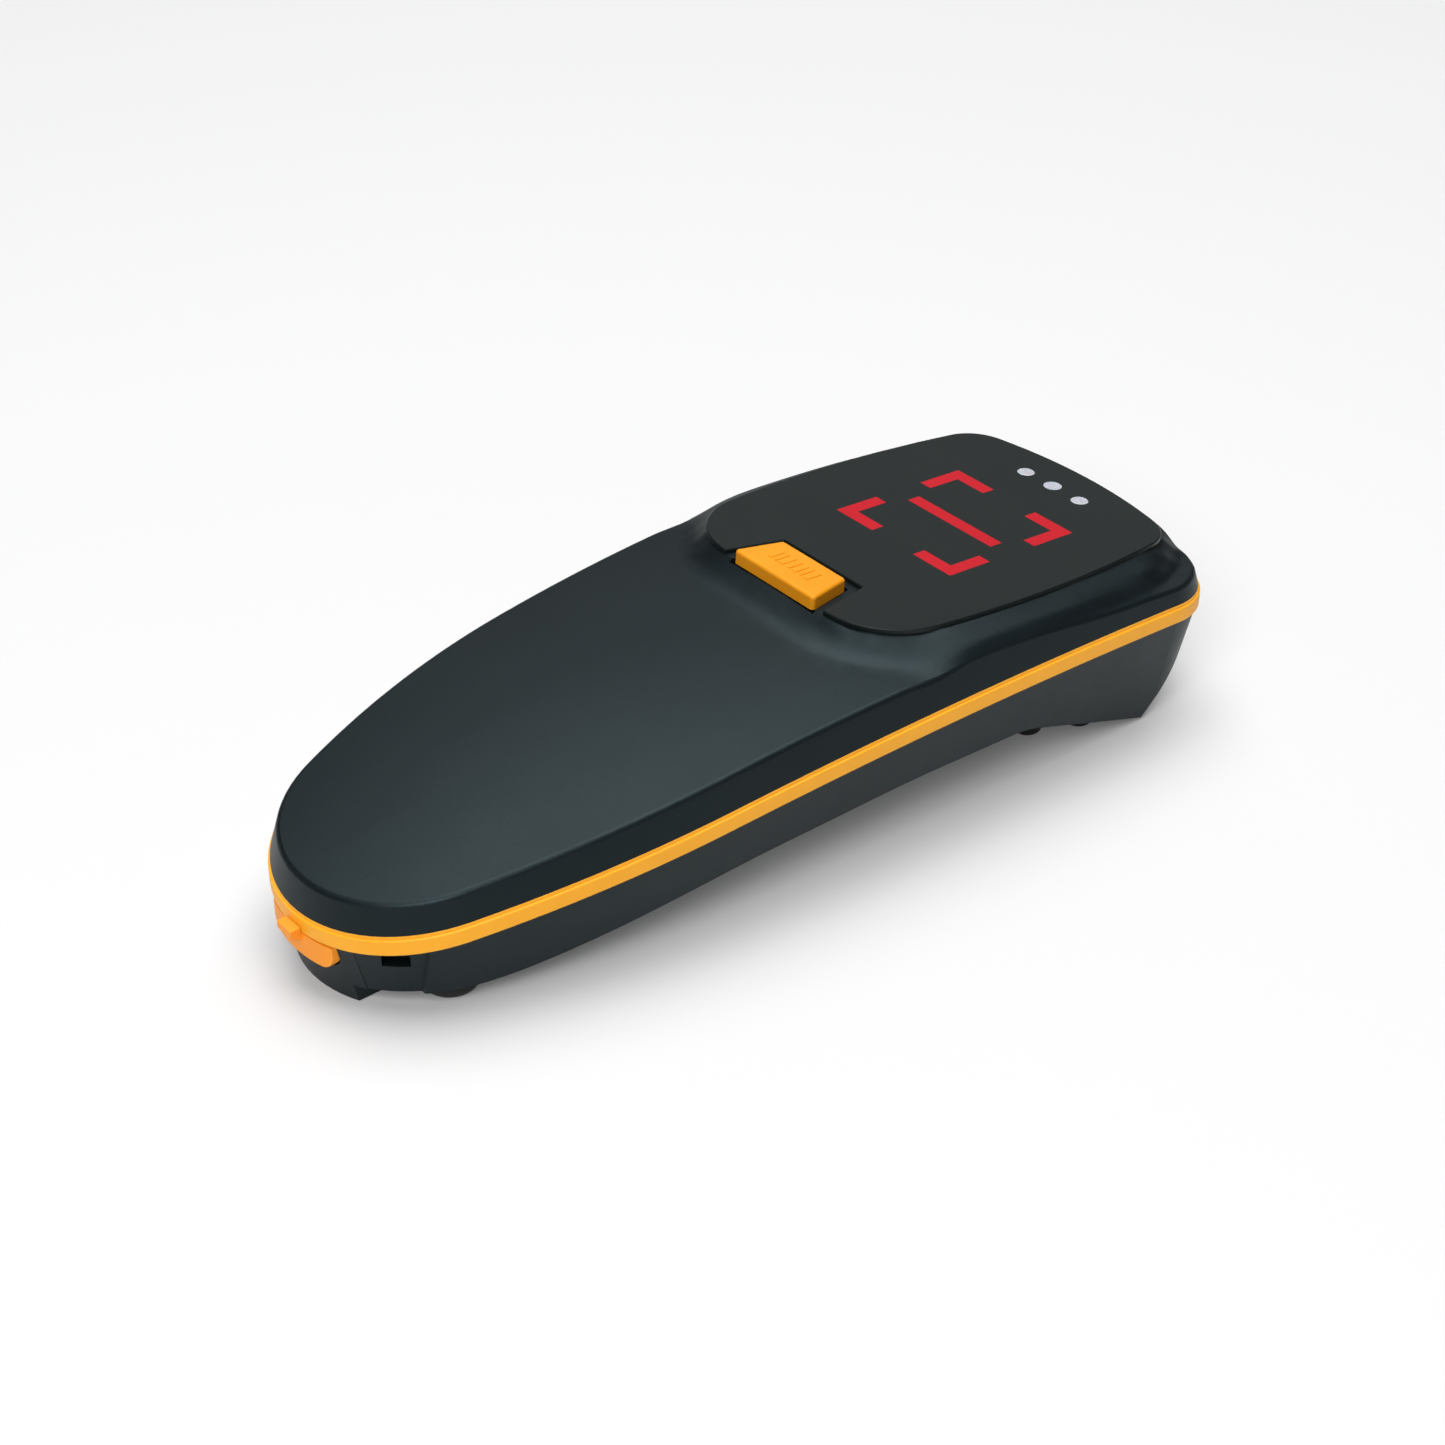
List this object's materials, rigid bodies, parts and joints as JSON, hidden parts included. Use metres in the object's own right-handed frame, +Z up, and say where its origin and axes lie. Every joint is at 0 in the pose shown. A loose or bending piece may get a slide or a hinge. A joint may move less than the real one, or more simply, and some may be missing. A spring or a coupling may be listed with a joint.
{
  "type": "handheld barcode scanner",
  "caption": "Cordless palm-size barcode imager: tapered grip, flat-topped head, sprung scan button, colour band and a hinged charging-port flap.",
  "frame": {"origin": "centre of the footprint, on the surface the scanner lies on", "axes": "+Y from the tail towards the scanning head, +Z up, +X across"},
  "size_m": [0.0536, 0.1318, 0.0295],
  "materials": {
    "casing": "satin moulded, fine texture",
    "band": "smooth silicone, slight sheen",
    "label": "satin printed sheet",
    "button": "satin",
    "lens_white": "diffuse light pipe",
    "board": "solder mask",
    "chip": "moulded package",
    "steel": "plain",
    "black_part": "moulded",
    "connector": "moulded",
    "pouch": "shrink sleeve",
    "foam": "closed-cell foam",
    "wire": "insulated",
    "ribbon": "polyimide",
    "lens": "coated",
    "red_lens": "clear moulded",
    "window": "polished",
    "foot": "matte",
    "paper": "blank printed sheet"
  },
  "bodies": {
    "housing": {"top_shell": "casing", "bottom_shell": "casing", "gasket_band": "band", "label_panel": "label", "light_pipes": "lens_white", "tact_switch_body": "black_part", "main_board": "board", "status_leds": "lens_white", "buzzer": "black_part", "wireless_module": "steel", "decoder_chip": "chip", "board_connectors": "connector", "board_screws": "steel", "battery": "pouch", "battery_pad": "foam", "battery_lead": "wire", "usb_board": "board", "usb_socket": "steel", "usb_tongue": "black_part", "usb_ribbon": "ribbon", "engine_frame": "black_part", "engine_board": "board", "lens_barrel": "black_part", "lens_glass": "lens", "aimer_lens": "red_lens", "illumination_lens": "lens", "engine_screws": "steel", "window_seal": "foam", "window_pane": "window", "rear_feet": "foot", "front_feet": "foot", "case_screws": "steel", "rating_label": "paper"},
    "button": {"scan_button": "button"},
    "plunger": {"switch_plunger": "black_part"},
    "port_flap": {"usb_port_flap": "band"}
  },
  "joints": [
    {"name": "button_press", "type": "slide", "parent": "housing", "child": "button", "axis": [0, -0.0767, -0.9971], "range_m": [0, 0.0005], "stiffness_N_per_m": 600},
    {"name": "plunger_press", "type": "slide", "parent": "housing", "child": "plunger", "axis": [0, 0, -1], "range_m": [0, 0.0005]},
    {"name": "flap_hinge", "type": "hinge", "parent": "housing", "child": "port_flap", "pos_m": [0, -0.06455, 0.00955], "axis": [-1, 0, 0], "range_deg": [0, 90]}
  ],
  "couplings": [
    {"joint": "plunger_press", "follows": "button_press", "ratio": 1}
  ]
}
